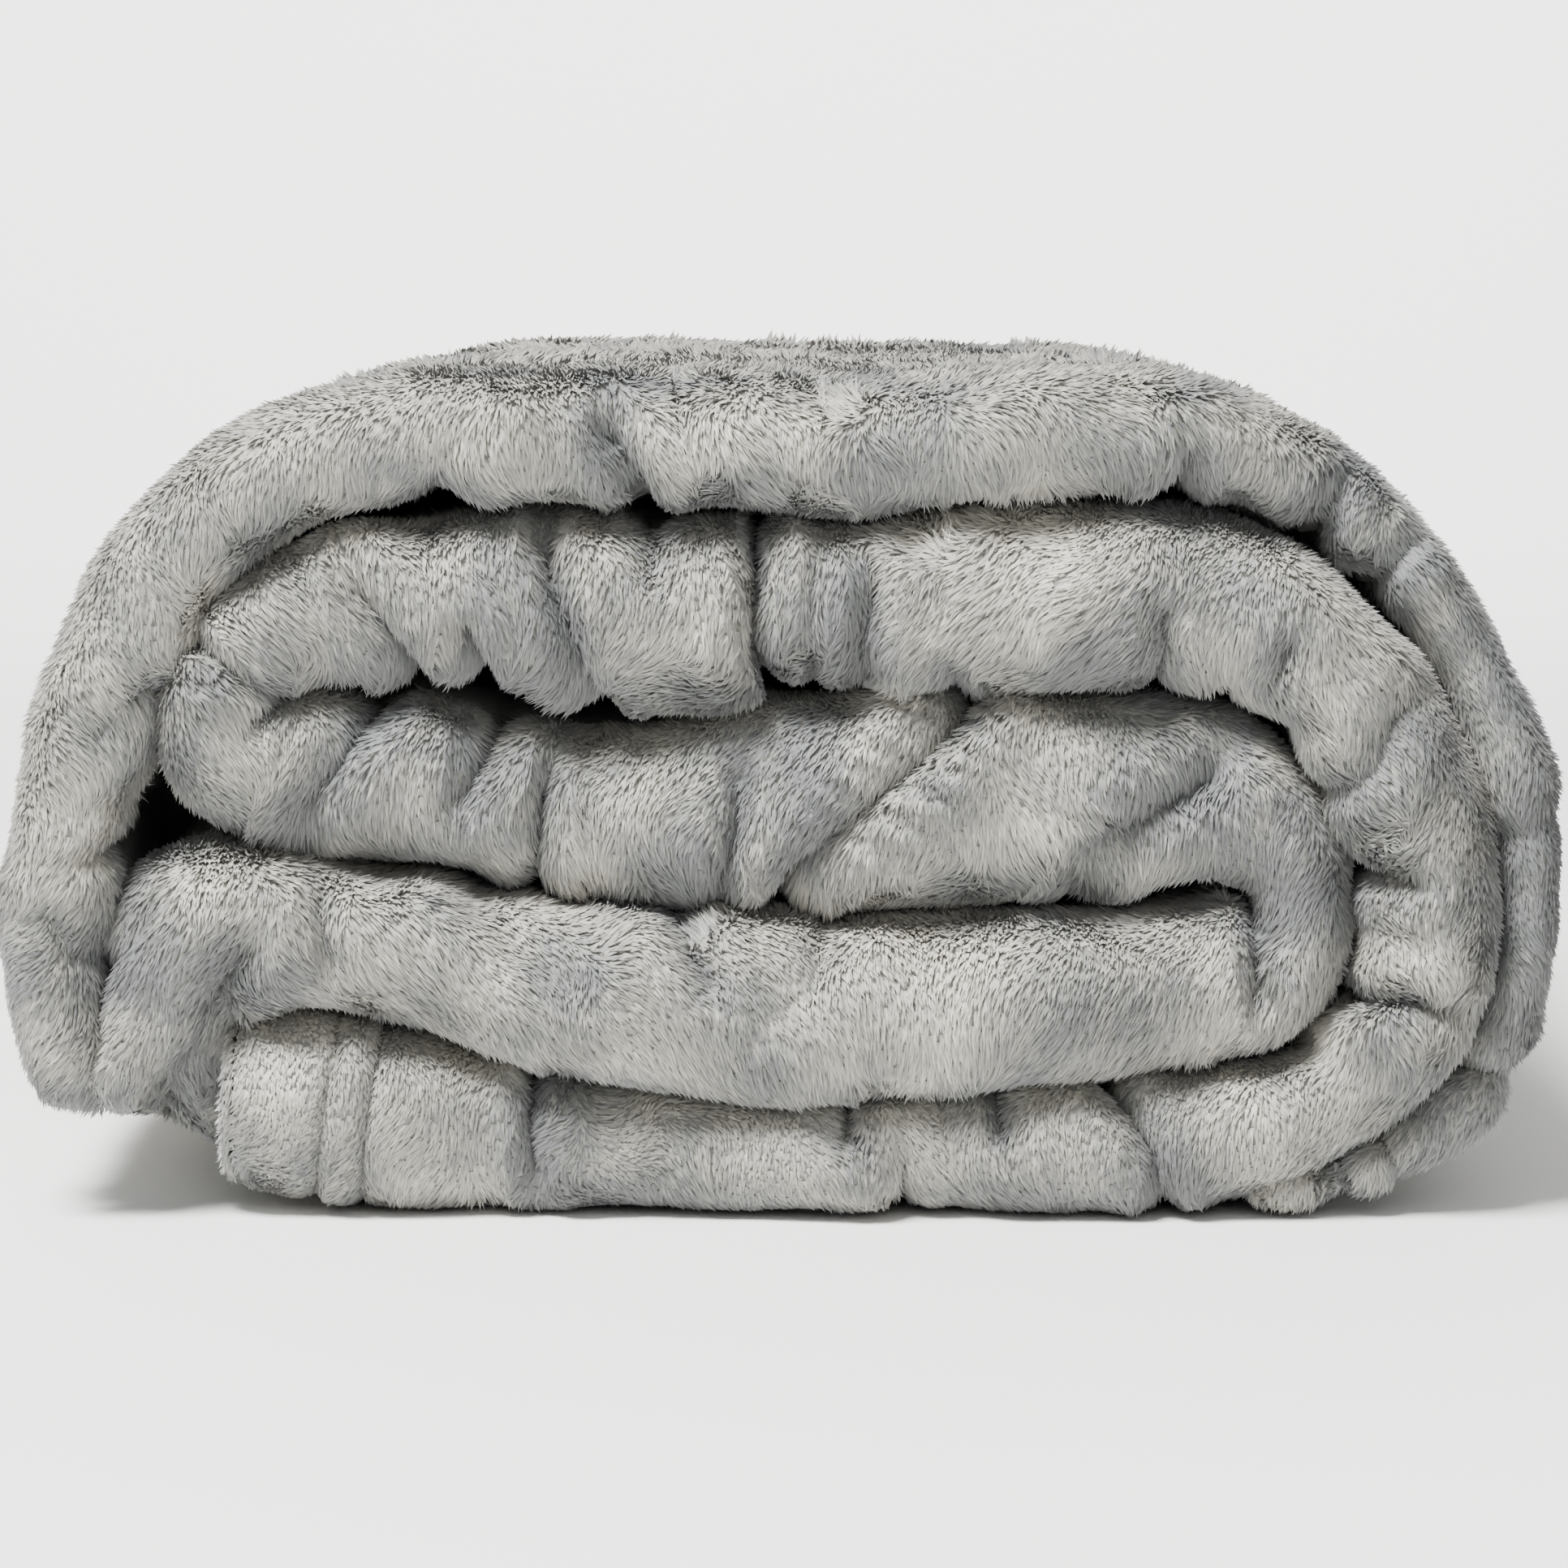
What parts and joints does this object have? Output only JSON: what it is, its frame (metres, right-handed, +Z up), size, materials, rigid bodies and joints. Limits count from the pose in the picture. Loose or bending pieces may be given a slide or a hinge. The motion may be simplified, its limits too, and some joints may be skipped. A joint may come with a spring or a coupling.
{
  "type": "folded throw blanket",
  "caption": "Plush throw folded in four and rolled flat into a spiral bundle, with stitched hems and an outer end that lifts open.",
  "frame": {"origin": "on the ground under the centre of the rolled throw's bounding box", "axes": "+Z up off the ground, -Y towards the end of the roll that shows the spiral, +X to the right of it, so the roll's folded width runs along Y"},
  "size_m": [0.3, 0.3174, 0.1612],
  "materials": {
    "plush": "knitted microplush, brushed pile about 4 mm long, silver grey with a soft sheen",
    "plush_hem": "the same plush turned over and pressed flat in the hem",
    "thread": "grey polyester sewing thread, sunk into the pile",
    "satin_label": "blank white woven satin"
  },
  "bodies": {
    "root": {"core_run": "plush", "core_left_turn": "plush", "core_right_turn": "plush", "inner_top_run": "plush", "inner_right_turn": "plush", "inner_bottom_run": "plush", "inner_end_hem": "plush_hem", "inner_end_stitch_1": "thread", "inner_end_stitch_2": "thread", "lower_run": "plush", "outer_left_turn": "plush", "outer_left_side": "plush", "outer_left_shoulder": "plush", "outer_top_run": "plush", "side_stitch_1": "thread", "side_stitch_2": "thread", "care_label": "satin_label"},
    "outer_flap": {"outer_right_shoulder": "plush", "outer_right_tail": "plush", "outer_end_hem": "plush_hem", "outer_end_stitch_1": "thread", "outer_end_stitch_2": "thread", "flap_side_stitch_1": "thread", "flap_side_stitch_2": "thread"}
  },
  "joints": [
    {"name": "outer_end_lift", "type": "hinge", "parent": "root", "child": "outer_flap", "pos_m": [0.0744, 0, 0.1612], "axis": [0, -1, 0], "range_deg": [0, 90]}
  ]
}
